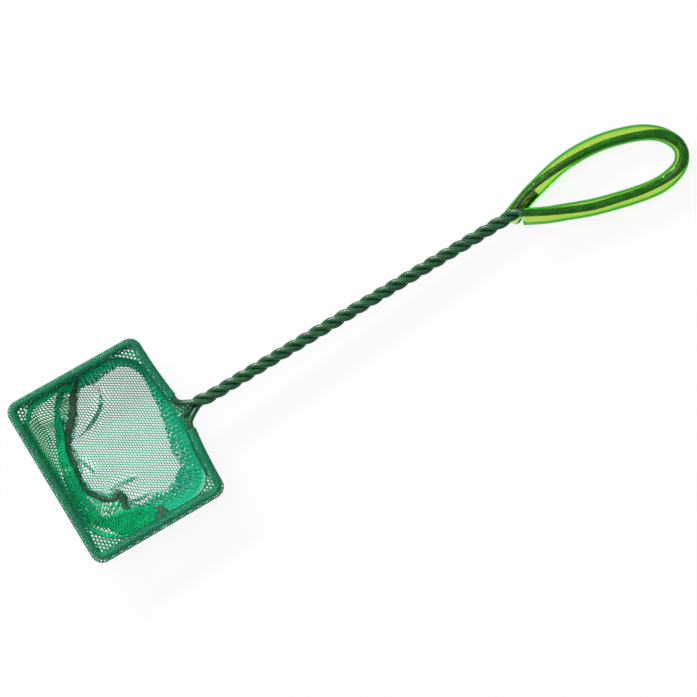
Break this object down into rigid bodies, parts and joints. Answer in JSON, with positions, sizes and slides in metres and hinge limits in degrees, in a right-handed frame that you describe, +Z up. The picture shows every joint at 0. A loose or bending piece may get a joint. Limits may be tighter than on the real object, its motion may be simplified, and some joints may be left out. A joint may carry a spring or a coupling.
{
  "type": "aquarium fish net",
  "caption": "Small square-mouthed aquarium net with a soft mesh bag, a twisted coated-wire handle and a tube-sleeved hanging loop as its grip.",
  "frame": {"origin": "on the table, under the middle of the net's mouth, as the net lies with its bag down", "axes": "+X along the handle from the mouth to the grip, +Y to the left of it, +Z up from the table"},
  "size_m": [0.3124, 0.0796, 0.016],
  "materials": {
    "steel_wire": "cut ends of plain steel wire",
    "wire_coating": "glossy dark green plastic coating",
    "grip_tube": "clear yellow-green flexible tube",
    "hem": "netting rolled tight round the wire",
    "netting": "soft green knitted mesh with small holes",
    "seam_thread": "dark green sewing thread over gathered mesh"
  },
  "bodies": {
    "root": {"hoop_core": "steel_wire", "hoop_coating": "wire_coating", "strand_a_core": "steel_wire", "strand_a_coating": "wire_coating", "strand_b_core": "steel_wire", "strand_b_coating": "wire_coating", "strand_c_core": "steel_wire", "strand_c_coating": "wire_coating", "loop_core": "steel_wire", "loop_coating": "wire_coating", "grip_tube": "grip_tube", "hem_near_left": "hem", "hem_near_right": "hem", "hem_far": "hem", "near_panel": "netting", "far_panel": "netting", "bag_seam": "seam_thread", "hem_stitches": "seam_thread"}
  },
  "joints": []
}
